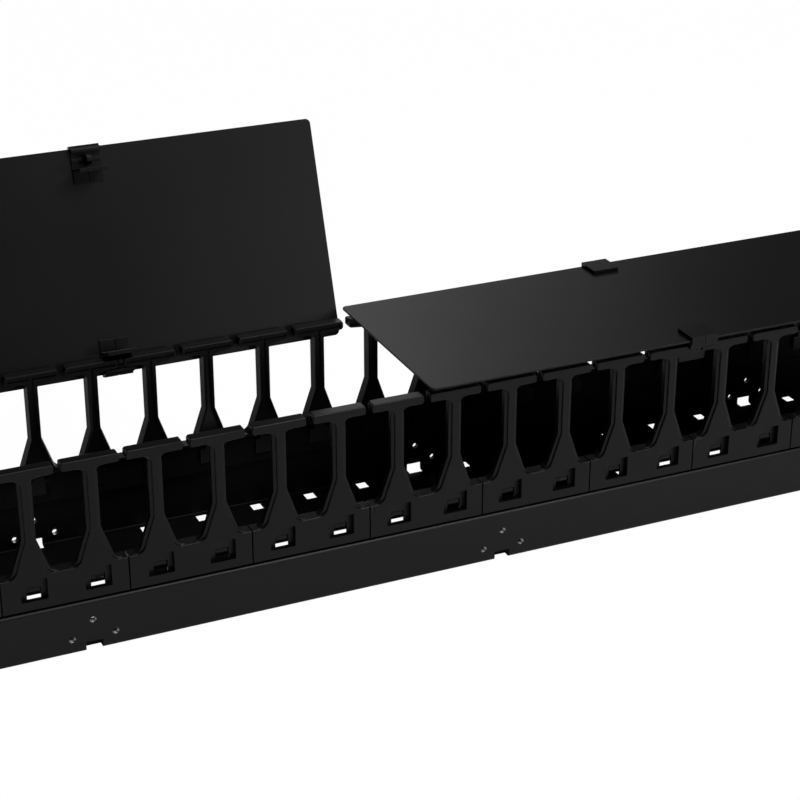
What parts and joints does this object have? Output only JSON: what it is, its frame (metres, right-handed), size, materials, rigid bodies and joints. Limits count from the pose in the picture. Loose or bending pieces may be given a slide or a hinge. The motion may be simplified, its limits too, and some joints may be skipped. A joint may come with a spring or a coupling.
{
  "type": "vertical cable manager",
  "caption": "Open steel channel with rows of T-shaped cable fingers along both sides and two flat hinged covers, one open and one closed.",
  "frame": {"origin": "centre of the back plate's outer face, halfway along, under the joint between the two covers", "axes": "+X along the manager towards the closed cover, +Y towards the side on which the open cover hangs, +Z out of the back plate towards the covers"},
  "size_m": [0.978, 0.2229, 0.2883],
  "materials": {
    "steel": "fine matt black powder coat",
    "cover": "satin black powder coat",
    "plastic": "moulded black nylon with a fine grain"
  },
  "bodies": {
    "frame": {"channel": "steel", "fingers_near_01": "plastic", "fingers_near_02": "plastic", "fingers_near_03": "plastic", "fingers_near_04": "plastic", "fingers_near_05": "plastic", "fingers_near_06": "plastic", "fingers_near_07": "plastic", "fingers_near_08": "plastic", "fingers_near_09": "plastic", "fingers_near_10": "plastic", "fingers_near_11": "plastic", "fingers_far_01": "plastic", "fingers_far_02": "plastic", "fingers_far_03": "plastic", "fingers_far_04": "plastic", "fingers_far_05": "plastic", "fingers_far_06": "plastic", "fingers_far_07": "plastic", "fingers_far_08": "plastic", "fingers_far_09": "plastic", "fingers_far_10": "plastic", "fingers_far_11": "plastic"},
    "left_cover": {"cover_left": "cover", "clip_left_hinge_1": "plastic", "clip_left_hinge_2": "plastic", "clip_left_loose_1": "plastic", "clip_left_loose_2": "plastic"},
    "right_cover": {"cover_right": "cover", "clip_right_hinge_1": "plastic", "clip_right_hinge_2": "plastic", "clip_right_loose_1": "plastic", "clip_right_loose_2": "plastic"}
  },
  "joints": [
    {"name": "left_cover_hinge", "type": "hinge", "parent": "frame", "child": "left_cover", "pos_m": [-0.28892, 0.0738, 0.141], "axis": [1, 0, 0], "range_deg": [0, 109.5]},
    {"name": "right_cover_hinge", "type": "hinge", "parent": "frame", "child": "right_cover", "pos_m": [0.33337, -0.0738, 0.141], "axis": [1, 0, 0], "range_deg": [0, 109.5]}
  ]
}
